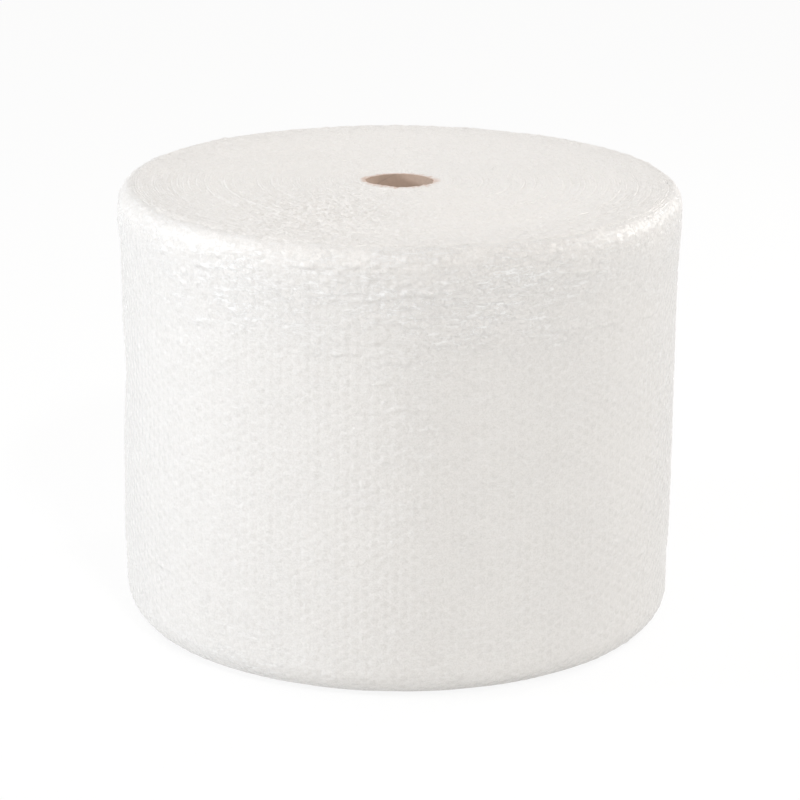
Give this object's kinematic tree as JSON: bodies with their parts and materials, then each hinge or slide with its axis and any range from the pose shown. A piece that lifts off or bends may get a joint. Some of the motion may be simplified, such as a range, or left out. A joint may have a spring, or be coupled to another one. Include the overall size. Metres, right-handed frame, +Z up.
{
  "type": "bubble wrap roll",
  "caption": "Roll of clear bubble film wound on a cardboard tube, standing on end with the tube's bore open at the top.",
  "frame": {"origin": "core axis at the bottom end of the roll, on the surface that it stands on", "axes": "+Z up along the core axis, +Y to the back of the picture's view, +X to its right"},
  "size_m": [0.6288, 0.6261, 0.5],
  "materials": {
    "bubble_film": "clear, cloudy in the roll",
    "core_board": "plain wound paper"
  },
  "bodies": {
    "root": {"film_roll": "bubble_film", "core_tube": "core_board"}
  },
  "joints": []
}
